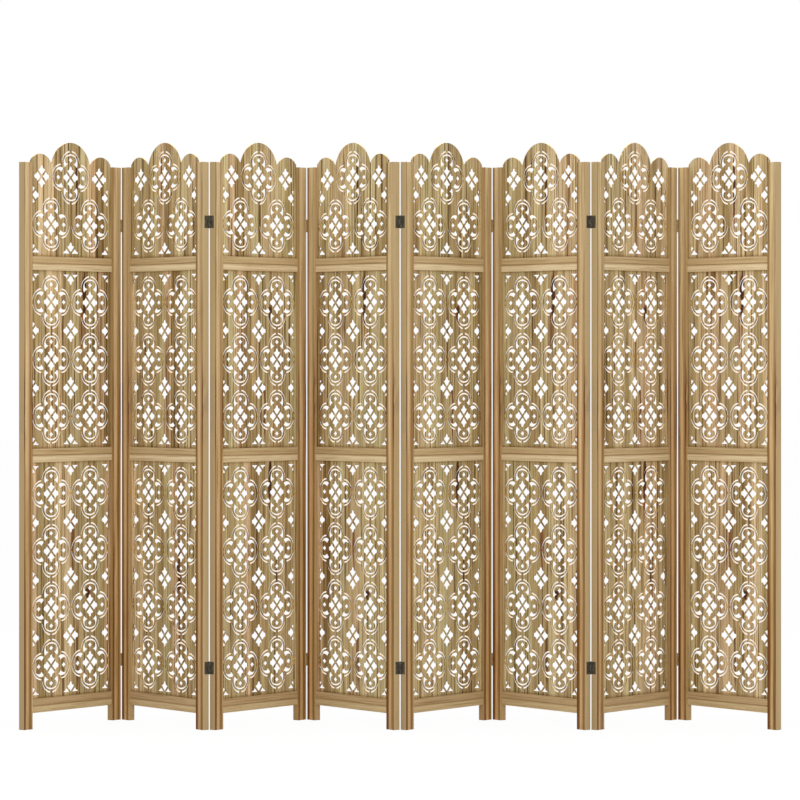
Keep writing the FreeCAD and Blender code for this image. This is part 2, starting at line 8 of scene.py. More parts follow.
import bpy
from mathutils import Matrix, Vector

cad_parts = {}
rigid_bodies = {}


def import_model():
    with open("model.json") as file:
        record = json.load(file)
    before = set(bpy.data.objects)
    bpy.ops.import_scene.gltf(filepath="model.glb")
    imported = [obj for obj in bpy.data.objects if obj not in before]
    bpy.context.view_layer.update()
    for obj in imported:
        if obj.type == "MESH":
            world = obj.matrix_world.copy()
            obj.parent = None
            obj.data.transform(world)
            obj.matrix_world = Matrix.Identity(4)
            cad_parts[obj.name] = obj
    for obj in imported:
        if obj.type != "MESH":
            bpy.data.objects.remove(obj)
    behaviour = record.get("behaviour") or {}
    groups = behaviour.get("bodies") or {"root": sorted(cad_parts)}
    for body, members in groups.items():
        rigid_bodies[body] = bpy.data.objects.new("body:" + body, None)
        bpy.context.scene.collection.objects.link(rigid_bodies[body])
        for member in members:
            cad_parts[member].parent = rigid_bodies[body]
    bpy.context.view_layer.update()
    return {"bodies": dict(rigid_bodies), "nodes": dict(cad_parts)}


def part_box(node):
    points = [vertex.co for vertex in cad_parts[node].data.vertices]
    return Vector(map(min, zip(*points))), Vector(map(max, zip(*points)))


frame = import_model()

log = logging.getLogger("folding_screen")
Triple = tuple[float, float, float]
Colour = Triple
Stops = tuple[tuple[float, Colour], ...]
Socket = bpy.types.NodeSocket

# The axes of a panel in its own frame: along its width, through it from front to back, and up
ACROSS, THROUGH, UP = range(3)
ORIGIN: Triple = (0.0, 0.0, 0.0)

# The curve between a screen's values and light values
SCREEN_WHITE = 255
CURVE_KNEE = 0.04045
CURVE_SLOPE = 12.92
CURVE_LIFT = 0.055
CURVE_POWER = 2.4


def light(part: int) -> float:
    """Undo the screen's curve for one part of a colour.

    Args:
        part: The screen's value, 0 to 255.

    Returns:
        The light value, 0 to 1.
    """
    share = part / SCREEN_WHITE
    if share <= CURVE_KNEE:
        return share / CURVE_SLOPE
    return ((share + CURVE_LIFT) / (1 + CURVE_LIFT)) ** CURVE_POWER


def tone(red: int, green: int, blue: int) -> Colour:
    """Give a colour that is named in screen values, 0 to 255, in light values."""
    return (light(red), light(green), light(blue))


class Grain(Enum):
    """The direction on a panel that a piece's wood grain runs in."""

    ALONG_WIDTH = "across"
    UPRIGHT = "up"

    def repeats(self, thickness: float, length: float) -> Triple:
        """How often streaks of one size repeat per metre on each axis of the panel.

        Args:
            thickness: The streaks' thickness in metres.
            length: The streaks' length in metres.

        Returns:
            The repeats along the panel's three axes.
        """
        across, along = 1 / thickness, 1 / length
        if self is Grain.ALONG_WIDTH:
            return (along, across, across)
        return (across, across, along)

    @property
    def face_axis(self) -> int:
        """The axis that crosses the grain on the piece's face."""
        return UP if self is Grain.ALONG_WIDTH else ACROSS


@dataclass(frozen=True)
class Fade:
    """A level that follows a value: it moves from at_start to at_end and is held outside them."""

    start: float
    end: float
    at_start: float = 0.0
    at_end: float = 1.0


@dataclass(frozen=True)
class Streaks:
    """One layer of streaks along the grain; sizes in metres.

    The tint multiplies the wood below it, from where the noise reaches start to full.
    """

    thickness: float
    length: float
    start: float
    full: float
    tint: Colour
    seed: float


@dataclass(frozen=True)
class Bands:
    """Lengthwise bands of tone across a face, as they are at one height above the floor."""

    height: float
    stops: Stops


@dataclass(frozen=True)
class Planks:
    """Upright planks side by side, each in a tone of its own; the width is in metres.

    The joint follows the distance from a plank's middle, as a share of its width.
    """

    width: float
    tones: Stops
    joint: Fade = Fade(0.455, 0.5, 0.0, 0.5)
    joint_tint: Colour = (0.55, 0.48, 0.38)


@dataclass(frozen=True)
class PaintedShadow:
    """A painted shadow line beside one border of a board, by the distance from it in metres."""

    fade: Fade
    tint: Colour


DARK_HEART = tone(52, 22, 4)
RED_HEART = tone(104, 46, 18)


@dataclass(frozen=True)
class Mark:
    """A long dark mark in the wood, with a paler brown rim; sizes in metres.

    It is placed from the middle of its panel or stile, and from the floor. Its fades follow
    the squared distance from its middle, which is one on its outline. The rim's strength is a
    share of the core's, and its quiver a share of its half width.
    """

    CORE_EDGE: ClassVar[tuple[float, float]] = (1.2, 0.7)
    RIM_EDGE: ClassVar[tuple[float, float]] = (2.6, 1.1)
    RIM_SHARE: ClassVar[float] = 0.75
    QUIVER_SHARE: ClassVar[float] = 2.0

    x: float
    z: float
    half_width: float
    half_length: float
    strength: float = 0.9
    core: Colour = DARK_HEART
    rim: Colour = tone(118, 62, 24)

    @property
    def core_fade(self) -> Fade:
        """How the dark core comes in."""
        return Fade(*self.CORE_EDGE, 0.0, self.strength)

    @property
    def rim_fade(self) -> Fade:
        """How the paler rim comes in."""
        return Fade(*self.RIM_EDGE, 0.0, self.RIM_SHARE * self.strength)

    @property
    def quiver(self) -> float:
        """How far the mark strays to each side."""
        return self.QUIVER_SHARE * self.half_width


@dataclass(frozen=True)
class WoodFinish:
    """How one kind of wooden piece looks; lengths are in metres.

    A piece has either bands across its face or planks. Its roughness follows its finest streaks.
    """

    grain: Grain
    edge_tone: Colour
    streaks: tuple[Streaks, ...]
    face_width: float = 0.0
    bands: tuple[Bands, ...] = ()
    # Painted light that lifts the wood more towards the floor, used for stiles at the rear folds.
    painted_light_by_height: Fade | None = None
    planks: Planks | None = None
    wander: float = 0.003
    roughness: Fade = Fade(0.3, 0.7, 0.45, 0.62)
    specular: float = 0.22
    coat: float = 0.03
    coat_roughness: float = 0.45
    pore_depth: float = 0.00010


@dataclass(frozen=True)
class HingeFinish:
    """Blackened steel at the front folds that turns to brown bronze at the rear folds.

    Repeats are per metre and depths in metres. Its roughness follows its speckle.
    """

    name: str = "hinge_metal"
    black: Colour = tone(66, 60, 46)
    bronze: Colour = tone(150, 122, 78)
    front_to_rear: Fade = Fade(-0.05, 0.05)
    rubbed: Colour = tone(112, 106, 86)
    rub: Fade = Fade(0.52, 0.72, 0.0, 0.8)
    rub_repeats: Triple = (180.0, 180.0, 90.0)
    rub_detail: float = 5.0
    rub_seed: float = 1.0
    speckle_repeats: Triple = (900.0, 900.0, 900.0)
    speckle_detail: float = 2.0
    speckle_seed: float = 5.0
    speckle_depth: float = 0.00006
    roughness: Fade = Fade(0.3, 0.7, 0.32, 0.52)
    metallic: float = 0.45


STILE_WIDTH = 0.035
FRONT_STILE = WoodFinish(
    grain=Grain.UPRIGHT,
    face_width=STILE_WIDTH,
    bands=(
        Bands(1.40, (
            (0.00, tone(136, 108, 62)),
            (0.11, tone(172, 146, 104)),
            (0.22, tone(202, 178, 136)),
            (0.46, tone(196, 172, 130)),
            (0.64, tone(176, 152, 112)),
            (0.86, tone(184, 158, 116)),
            (1.00, tone(166, 140, 98)),
        )),
        Bands(0.85, (
            (0.00, tone(140, 104, 50)),
            (0.11, tone(172, 138, 90)),
            (0.26, tone(208, 178, 136)),
            (0.45, tone(198, 166, 122)),
            (0.62, tone(158, 124, 80)),
            (0.73, tone(134, 96, 48)),
            (0.92, tone(174, 142, 96)),
        )),
        Bands(0.28, (
            (0.08, tone(104, 62, 14)),
            (0.16, tone(132, 94, 44)),
            (0.32, tone(196, 162, 116)),
            (0.50, tone(178, 144, 98)),
            (0.66, tone(134, 98, 50)),
            (0.76, tone(130, 94, 46)),
            (0.95, tone(190, 164, 122)),
        )),
    ),
    edge_tone=tone(174, 152, 112),
    streaks=(
        Streaks(0.013, 0.65, 0.54, 0.68, (0.78, 0.71, 0.60), 3.1),
        Streaks(0.011, 0.50, 0.44, 0.32, (1.12, 1.13, 1.16), 8.3),
        Streaks(0.0045, 0.22, 0.54, 0.68, (0.68, 0.60, 0.48), 11.7),
        Streaks(0.0018, 0.12, 0.50, 0.68, (0.78, 0.73, 0.64), 19.2),
        Streaks(0.0005, 0.012, 0.60, 0.70, (0.72, 0.66, 0.58), 27.9),
    ),
)
# Stiles at the rear folds: a lit and shaded copy of the stile finish. Their darker edge tone is painted
# shade inside the folds, and their faces are painted lighter towards the floor as painted light.
REAR_STILE_PAINTED_LIGHT_AND_SHADE = replace(
    FRONT_STILE,
    edge_tone=tone(170, 140, 96),
    painted_light_by_height=Fade(1.40, 0.30, 1.06, 1.20),
)
STILE_MARKS = (
    Mark(0.0150, 0.900, 0.0022, 0.100, 0.9, core=tone(90, 40, 12), rim=tone(124, 76, 36)),
    Mark(-0.0160, 0.880, 0.0018, 0.115, 0.85, core=tone(76, 40, 10), rim=tone(112, 74, 32)),
)

RAIL_HEIGHT = 0.039
# The rails' bands are partly grain and partly painted light and shade: the dark line along each rail's
# middle is painted shade in its groove, and the darker upper half and lighter lower half are painted
# light from above.
RAIL = WoodFinish(
    grain=Grain.ALONG_WIDTH,
    face_width=RAIL_HEIGHT,
    wander=0.0012,
    bands=(
        Bands(0.60, (
            (0.02, tone(206, 184, 144)),
            (0.36, tone(220, 200, 164)),
            (0.44, tone(194, 170, 130)),
            (0.50, tone(152, 124, 82)),
            (0.60, tone(192, 166, 124)),
            (0.78, tone(184, 158, 116)),
            (0.94, tone(196, 172, 132)),
            (1.00, tone(168, 142, 100)),
        )),
        Bands(0.10, (
            (0.00, tone(186, 162, 120)),
            (0.38, tone(198, 174, 132)),
            (0.46, tone(176, 150, 108)),
            (0.50, tone(142, 112, 72)),
            (0.58, tone(178, 150, 110)),
            (0.94, tone(184, 156, 116)),
            (1.00, tone(152, 124, 82)),
        )),
    ),
    edge_tone=tone(206, 182, 140),
    streaks=(
        Streaks(0.006, 0.30, 0.55, 0.68, (0.82, 0.77, 0.68), 4.6),
        Streaks(0.0026, 0.16, 0.53, 0.68, (0.72, 0.66, 0.55), 9.1),
        Streaks(0.0014, 0.10, 0.50, 0.68, (0.84, 0.80, 0.73), 15.4),
        Streaks(0.0005, 0.012, 0.60, 0.70, (0.76, 0.70, 0.62), 22.8),
    ),
)

BOARD = WoodFinish(
    grain=Grain.UPRIGHT,
    wander=0.006,
    # The board's edge tone is the colour of the painted highlight on cut walls that face up or down.
    edge_tone=tone(255, 214, 134),
    planks=Planks(0.034, (
        (0.00, tone(182, 170, 124)),
        (0.20, tone(214, 190, 150)),
        (0.38, tone(166, 146, 100)),
        (0.55, tone(202, 172, 136)),
        (0.72, tone(192, 174, 132)),
        (0.88, tone(156, 130, 86)),
        (1.00, tone(220, 198, 158)),
    )),
    streaks=(
        Streaks(0.018, 0.50, 0.50, 0.66, (0.72, 0.66, 0.52), 5.5),
        Streaks(0.020, 0.30, 0.56, 0.68, (0.96, 0.86, 0.76), 13.6),
        Streaks(0.0056, 0.42, 0.54, 0.65, (0.30, 0.22, 0.12), 2.4),
        Streaks(0.0070, 0.26, 0.46, 0.32, (1.30, 1.30, 1.28), 21.0),
        Streaks(0.0026, 0.20, 0.54, 0.65, (0.38, 0.30, 0.19), 16.1),
        Streaks(0.0005, 0.012, 0.60, 0.70, (0.72, 0.66, 0.58), 30.3),
    ),
)
# Painted shade on a board beside the stiles, above the rail below it and below the rail above it.
BESIDE_STILE = PaintedShadow(Fade(0.006, 0.0), (0.80, 0.74, 0.64))
ABOVE_RAIL = PaintedShadow(Fade(0.008, 0.001), (0.66, 0.58, 0.46))
BELOW_RAIL = PaintedShadow(Fade(0.006, 0.0), (0.86, 0.81, 0.73))


class Figure(Enum):
    """Where a panel's boards carry dark marks, named for the height of the boldest long one."""

    HIGH = (
        Mark(0.024, 1.520, 0.0036, 0.090, 0.9),
        Mark(-0.040, 1.590, 0.0020, 0.045, 0.6),
        Mark(0.055, 1.210, 0.0060, 0.085),
        Mark(-0.035, 1.150, 0.0022, 0.065, 0.7),
        Mark(0.044, 1.110, 0.0030, 0.060, 0.6, core=RED_HEART),
        Mark(0.068, 0.370, 0.0070, 0.013),
        Mark(0.006, 0.510, 0.0035, 0.075, 0.7, core=RED_HEART),
        Mark(0.026, 0.190, 0.0040, 0.085, 0.65),
    )
    MIDDLE = (
        Mark(0.052, 1.165, 0.0060, 0.022),
        Mark(0.003, 1.080, 0.0030, 0.080, 0.7, core=RED_HEART),
        Mark(0.024, 0.890, 0.0035, 0.080, 0.8, core=RED_HEART),
        Mark(0.048, 0.695, 0.0060, 0.062),
        Mark(0.045, 0.610, 0.0040, 0.030, 0.6, core=RED_HEART),
        Mark(0.076, 0.440, 0.0030, 0.050, 0.75),
        Mark(-0.045, 0.480, 0.0030, 0.060, 0.5),
    )
    LOW = (
        Mark(-0.013, 1.555, 0.0022, 0.065, 0.8),
        Mark(-0.095, 1.070, 0.0030, 0.030, 0.8),
        Mark(0.078, 0.890, 0.0055, 0.014),
        Mark(0.044, 0.780, 0.0035, 0.095, 0.65),
        Mark(0.072, 0.440, 0.0060, 0.060),
        Mark(0.074, 0.270, 0.0030, 0.070, 0.65),
    )


FIGURES = (Figure.HIGH, Figure.LOW, Figure.MIDDLE, Figure.HIGH,
           Figure.MIDDLE, Figure.HIGH, Figure.MIDDLE, Figure.HIGH)


class ShaderSheet:
    """One material's node tree, with short ways to add and join its nodes."""

    SEED_STEPS: Triple = (1.0, 2.3, 3.7)

    def __init__(self, name: str) -> None:
        """Start a material with a bare surface shader.

        Args:
            name: The material's name.
        """
        self.material = bpy.data.materials.new(name)
        self.material.use_nodes = True
        self.tree = self.material.node_tree
        self.shader = self.tree.nodes["Principled BSDF"]

    def add(self, kind: str) -> bpy.types.Node:
        """Add a node of the given kind."""
        return self.tree.nodes.new(kind)

    def feed(self, socket: Socket, value: object) -> None:
        """Link a socket to another, or set its plain value.

        Args:
            socket: The input to fill.
            value: An output socket, a number, a colour or a vector.
        """
        if isinstance(value, bpy.types.NodeSocket):
            self.tree.links.new(value, socket)
        elif isinstance(socket.default_value, float):
            socket.default_value = value
        elif len(socket.default_value) == 4:
            socket.default_value = (*value, 1.0)
        else:
            socket.default_value = value

    def in_panel(self, source: str, centre: Triple, turn: float) -> Socket:
        """Object coordinates or normals, as the piece's own panel sees them.

        Args:
            source: "Object" for places or "Normal" for directions.
            centre: The point that becomes the origin.
            turn: The panel's turn about the upright axis, in radians.

        Returns:
            The vector output.
        """
        coordinates = self.add("ShaderNodeTexCoord")
        mapping = self.add("ShaderNodeMapping")
        mapping.vector_type = "TEXTURE"
        mapping.inputs["Location"].default_value = centre
        mapping.inputs["Rotation"].default_value = (0.0, 0.0, turn)
        self.feed(mapping.inputs["Vector"], coordinates.outputs[source])
        return mapping.outputs["Vector"]

    def combine(self, kind: str, operation: str, first: object, second: object) -> bpy.types.Node:
        """Combine two values in a node of one kind.

        Args:
            kind: The node's kind, for numbers or for vectors.
            operation: What the node does with them.
            first: The first socket or value.
            second: The second socket or value.

        Returns:
            The node.
        """
        node = self.add(kind)
        node.operation = operation
        self.feed(node.inputs[0], first)
        self.feed(node.inputs[1], second)
        return node

    def vector(self, operation: str, first: object, second: object) -> Socket:
        """Combine two vectors."""
        return self.combine("ShaderNodeVectorMath", operation, first, second).outputs["Vector"]

    def number(self, operation: str, first: object, second: object = 0.0) -> Socket:
        """Combine two numbers."""
        return self.combine("ShaderNodeMath", operation, first, second).outputs["Value"]

    def part(self, vector: Socket, axis: int) -> Socket:
        """Take one coordinate of a vector.

        Args:
            vector: The vector.
            axis: ACROSS, THROUGH or UP.

        Returns:
            The coordinate.
        """
        node = self.add("ShaderNodeSeparateXYZ")
        self.feed(node.inputs["Vector"], vector)
        return node.outputs[axis]

    def noise(self, vector: Socket, repeats: Triple, detail: float, seed: float) -> Socket:
        """A stretched noise from 0 to 1.

        Args:
            vector: Where to read it.
            repeats: Repeats per metre on each axis.
            detail: How many finer layers it holds.
            seed: A shift that makes this noise unlike the others.

        Returns:
            The noise's value.
        """
        node = self.add("ShaderNodeTexNoise")
        node.inputs["Scale"].default_value = 1.0
        node.inputs["Detail"].default_value = detail
        stretched = self.vector("MULTIPLY", vector, repeats)
        shift = tuple(seed * step for step in self.SEED_STEPS)
        self.feed(node.inputs["Vector"], self.vector("ADD", stretched, shift))
        return node.outputs["Fac"]

    def sway(self, noise: Socket, reach: float) -> Socket:
        """Turn a noise into a shift to either side, of up to a reach in metres."""
        return self.number("MULTIPLY", self.number("SUBTRACT", noise, 0.5), 2 * reach)

    def ramp(self, factor: Socket, stops: Stops) -> Socket:
        """Colours along a factor.

        Args:
            factor: The place on the ramp, 0 to 1.
            stops: Pairs of place and colour.

        Returns:
            The colour.
        """
        node = self.add("ShaderNodeValToRGB")
        elements = node.color_ramp.elements
        while len(elements) < len(stops):
            elements.new(0.5)
        for element, (place, colour) in zip(elements, stops):
            element.position = place
            element.color = (*colour, 1.0)
        self.feed(node.inputs["Fac"], factor)
        return node.outputs["Color"]

    def mix(self, factor: object, first: object, second: object, way: str = "MIX") -> Socket:
        """Blend two colours.

        Args:
            factor: How much of the second.
            first: The lower colour.
            second: The upper colour.
            way: The blend type.

        Returns:
            The mixed colour.
        """
        node = self.add("ShaderNodeMix")
        node.data_type = "RGBA"
        node.blend_type = way
        for name, value in (("Factor", factor), ("A", first), ("B", second)):
            socket = next(each for each in node.inputs if each.name == name and each.enabled)
            self.feed(socket, value)
        return next(each for each in node.outputs if each.enabled)

    def follow(self, value: Socket, fade: Fade) -> Socket:
        """Give a fade's level at a value.

        Args:
            value: The value.
            fade: How the level follows it.

        Returns:
            The level.
        """
        node = self.add("ShaderNodeMapRange")
        ends = (("From Min", fade.start), ("From Max", fade.end),
                ("To Min", fade.at_start), ("To Max", fade.at_end))
        for name, number in ends:
            node.inputs[name].default_value = number
        self.feed(node.inputs["Value"], value)
        return node.outputs["Result"]

    def bump(self, height: Socket, depth: float) -> None:
        """Roughen the surface with a height pattern.

        Args:
            height: The pattern.
            depth: How deep it goes, in metres.
        """
        node = self.add("ShaderNodeBump")
        node.inputs["Distance"].default_value = depth
        self.feed(node.inputs["Height"], height)
        self.feed(self.shader.inputs["Normal"], node.outputs["Normal"])


@dataclass(frozen=True)
class Lie:
    """How a wooden piece lies in the model: what its grain and marks are measured from."""

    centre: Vector
    turn: float
    seed: float
    band_shift: float = 0.0


class WoodSheet(ShaderSheet):
    """The node tree of one wooden piece; lengths are in metres."""

    WANDER_THICKNESS = 0.10
    WANDER_LENGTH = 0.55
    WANDER_DETAIL = 2.0
    STREAK_DETAIL = 3.0
    QUIVER_REPEATS: Triple = (60.0, 60.0, 20.0)
    QUIVER_DETAIL = 4.0
    EDGE_BY_FACING = Fade(0.8, 0.5)
    EDGE_CLEARNESS = 0.25
    # Painted shade on a board's cut walls.
    PAINTED_WALL_SHADE: Colour = (0.92, 0.82, 0.52)
    # How far a cut wall must face up or down to take the painted highlight.
    PAINTED_HIGHLIGHT_BY_FACING = Fade(0.76, 0.86)

    def __init__(self, name: str, finish: WoodFinish, lie: Lie) -> None:
        """Start the wood.

        Args:
            name: The material's name.
            finish: The kind of wood.
            lie: How the piece lies.
        """
        super().__init__(name)
        self.finish = finish
        self.lie = lie
        self.local = self.in_panel("Object", (lie.centre.x, lie.centre.y, 0.0), lie.turn)
        self.height = self.part(self.local, UP)
        slow_repeats = finish.grain.repeats(self.WANDER_THICKNESS, self.WANDER_LENGTH)
        slow = self.noise(self.local, slow_repeats, self.WANDER_DETAIL, lie.seed)
        straight = self.part(self.local, finish.grain.face_axis)
        self.across = self.number("ADD", straight, self.sway(slow, finish.wander))
        self.colour = None
        self.relief = None

    def multiply(self, factor: object, tint: object) -> None:
        """Tint the wood so far where the factor says."""
        self.colour = self.mix(factor, self.colour, tint, "MULTIPLY")

    def lay_bands(self, across: Socket) -> None:
        """Lay the lengthwise bands, which change from the top down to the floor.

        Args:
            across: The distance from the bands' middle line, in metres.
        """
        finish = self.finish
        shifted = self.number("SUBTRACT", across, self.lie.band_shift)
        share = self.number("ADD", self.number("DIVIDE", shifted, finish.face_width), 0.5)
        self.colour = self.ramp(share, finish.bands[0].stops)
        for upper, lower in zip(finish.bands, finish.bands[1:]):
            fall = self.follow(self.height, Fade(upper.height, lower.height))
            self.colour = self.mix(fall, self.colour, self.ramp(share, lower.stops))
        # Painted light: the wood is lightened more towards the floor.
        if finish.painted_light_by_height:
            self.multiply(1.0, self.follow(self.height, finish.painted_light_by_height))

    def lay_planks(self) -> None:
        """Give each plank a tone of its own, with a thin dark joint beside it."""
        planks = self.finish.planks
        place = self.number("DIVIDE", self.across, planks.width)
        chance = self.add("ShaderNodeTexWhiteNoise")
        chance.noise_dimensions = "1D"
        self.feed(chance.inputs["W"], self.number("ADD", self.number("FLOOR", place), self.lie.seed))
        self.colour = self.ramp(chance.outputs["Value"], planks.tones)
        from_middle = self.number("ABSOLUTE", self.number("SUBTRACT", self.number("FRACT", place), 0.5))
        self.multiply(self.follow(from_middle, planks.joint), planks.joint_tint)

    def lay_streaks(self) -> None:
        """Lay each layer of streaks along the grain and keep the finest as relief."""
        for streaks in self.finish.streaks:
            repeats = self.finish.grain.repeats(streaks.thickness, streaks.length)
            pattern = self.noise(self.local, repeats, self.STREAK_DETAIL, streaks.seed + self.lie.seed)
            self.multiply(self.follow(pattern, Fade(streaks.start, streaks.full)), streaks.tint)
            self.relief = pattern

    def lay_mark(self, mark: Mark) -> None:
        """Lay one dark mark.

        Args:
            mark: The mark, placed from the middle of the panel or stile and from the floor.
        """
        noise = self.noise(self.local, self.QUIVER_REPEATS, self.QUIVER_DETAIL, mark.z)
        strayed = self.number("ADD", self.part(self.local, ACROSS), self.sway(noise, mark.quiver))
        off_x = self.number("SUBTRACT", strayed, mark.x)
        off_z = self.number("SUBTRACT", self.height, mark.z)
        wide = self.number("POWER", self.number("DIVIDE", off_x, mark.half_width), 2.0)
        long = self.number("POWER", self.number("DIVIDE", off_z, mark.half_length), 2.0)
        distance = self.number("ADD", wide, long)
        for fade, colour in ((mark.rim_fade, mark.rim), (mark.core_fade, mark.core)):
            self.colour = self.mix(self.follow(distance, fade), self.colour, colour)

    def paint_shade_by_frame(self, half_width: float, low: float, high: float) -> None:
        """Paint shade on a board where it meets the frame, standing in for the shade in those corners.

        Args:
            half_width: From the board's middle to the stiles.
            low: The height of the rail below it.
            high: The height of the rail above it.
        """
        from_middle = self.number("ABSOLUTE", self.part(self.local, ACROSS))
        distances = (
            (BESIDE_STILE, self.number("SUBTRACT", half_width, from_middle)),
            (ABOVE_RAIL, self.number("SUBTRACT", self.height, low)),
            (BELOW_RAIL, self.number("SUBTRACT", high, self.height)),
        )
        for shadow, distance in distances:
            self.multiply(self.follow(distance, shadow.fade), shadow.tint)

    def bare_edges(self) -> tuple[Socket, Socket]:
        """Find the edges and cut walls, whose normal lies in the panel's plane.

        Returns:
            One on an edge or wall, else zero; and how far its normal points up or down.
        """
        normal = self.in_panel("Normal", ORIGIN, self.lie.turn)
        facing = self.number("ABSOLUTE", self.part(normal, THROUGH))
        upright = self.number("ABSOLUTE", self.part(normal, UP))
        return self.follow(facing, self.EDGE_BY_FACING), upright

    def plain_edges(self) -> None:
        """Show the plainer wood of a bar's edges and ends; the darker edge tone on stiles at the rear
        folds is painted shade.
        """
        bare, _ = self.bare_edges()
        edge = self.mix(self.EDGE_CLEARNESS, self.finish.edge_tone, self.colour)
        self.colour = self.mix(bare, self.colour, edge)

    def paint_light_and_shade_on_cut_walls(self) -> None:
        """Paint shade on a board's cut walls, and a painted pale highlight where a wall faces up or
        down, across the grain.
        """
        bare, upright = self.bare_edges()
        self.multiply(bare, self.PAINTED_WALL_SHADE)
        painted_highlight = self.number("MULTIPLY", bare, self.follow(upright, self.PAINTED_HIGHLIGHT_BY_FACING))
        self.colour = self.mix(painted_highlight, self.colour, self.finish.edge_tone)

    def finish_surface(self) -> bpy.types.Material:
        """Join colour, gloss and relief to the surface.

        Returns:
            The finished material.
        """
        finish = self.finish
        sockets = self.shader.inputs
        self.feed(sockets["Base Color"], self.colour)
        self.feed(sockets["Roughness"], self.follow(self.relief, finish.roughness))
        sockets["Specular IOR Level"].default_value = finish.specular
        sockets["Coat Weight"].default_value = finish.coat
        sockets["Coat Roughness"].default_value = finish.coat_roughness
        self.bump(self.number("MULTIPLY", self.relief, -1.0), finish.pore_depth)
        return self.material


def hinge_material(finish: HingeFinish) -> bpy.types.Material:
    """Make the hinges' metal, black in front and bronze behind, a little rubbed.

    Args:
        finish: The hinges' finish.

    Returns:
        The finished material.
    """
    sheet = ShaderSheet(finish.name)
    place = sheet.in_panel("Object", ORIGIN, 0.0)
    rear = sheet.follow(sheet.part(place, THROUGH), finish.front_to_rear)
    colour = sheet.mix(rear, finish.black, finish.bronze)
    rub = sheet.noise(place, finish.rub_repeats, finish.rub_detail, finish.rub_seed)
    worn = sheet.follow(rub, finish.rub)
    sheet.feed(sheet.shader.inputs["Base Color"], sheet.mix(worn, colour, finish.rubbed))
    sheet.shader.inputs["Metallic"].default_value = finish.metallic
    speckle = sheet.noise(place, finish.speckle_repeats, finish.speckle_detail, finish.speckle_seed)
    sheet.feed(sheet.shader.inputs["Roughness"], sheet.follow(speckle, finish.roughness))
    sheet.bump(speckle, finish.speckle_depth)
    return sheet.material


def paint(node: str, material: bpy.types.Material) -> None:
    """Give a CAD node its finish.

    Args:
        node: The node's name.
        material: The finish.
    """
    piece = frame["nodes"][node]
    piece.data.materials.clear()
    piece.data.materials.append(material)
    log.info("%s: %s", node, material.name)


